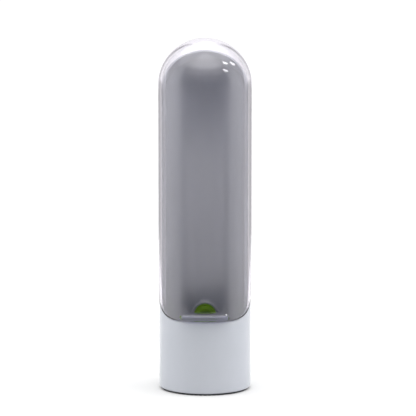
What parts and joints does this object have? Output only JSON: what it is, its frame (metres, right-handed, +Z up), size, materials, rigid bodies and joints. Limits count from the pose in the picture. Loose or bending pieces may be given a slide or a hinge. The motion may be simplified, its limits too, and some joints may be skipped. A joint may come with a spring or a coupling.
{
  "type": "herb keeper",
  "caption": "Upright capsule herb keeper: white body with a water cup and back wall, a clear front cover that slides up and off, and a green plug in its refill port.",
  "frame": {"origin": "on the floor under the keeper's axis", "axes": "+Z up along the axis, -Y towards the clear front, +X to the right as seen from the front"},
  "size_m": [0.065, 0.0706, 0.245],
  "materials": {
    "white_plastic": "satin moulded",
    "clear_plastic": "polished clear",
    "green_silicone": "satin moulded",
    "cap_plastic": "fine texture",
    "seal_silicone": "smooth",
    "foot_rubber": "matte"
  },
  "bodies": {
    "body": {"body_shell": "white_plastic", "base_cap": "cap_plastic", "base_seal": "seal_silicone", "foot_ring": "foot_rubber"},
    "cover": {"front_cover": "clear_plastic"},
    "plug": {"refill_plug": "green_silicone"}
  },
  "joints": [
    {"name": "cover_lift", "type": "slide", "parent": "body", "child": "cover", "axis": [0, 0, 1], "range_m": [0, 0.19]},
    {"name": "plug_pull", "type": "slide", "parent": "body", "child": "plug", "axis": [0, 1, 0], "range_m": [0, 0.025]}
  ]
}
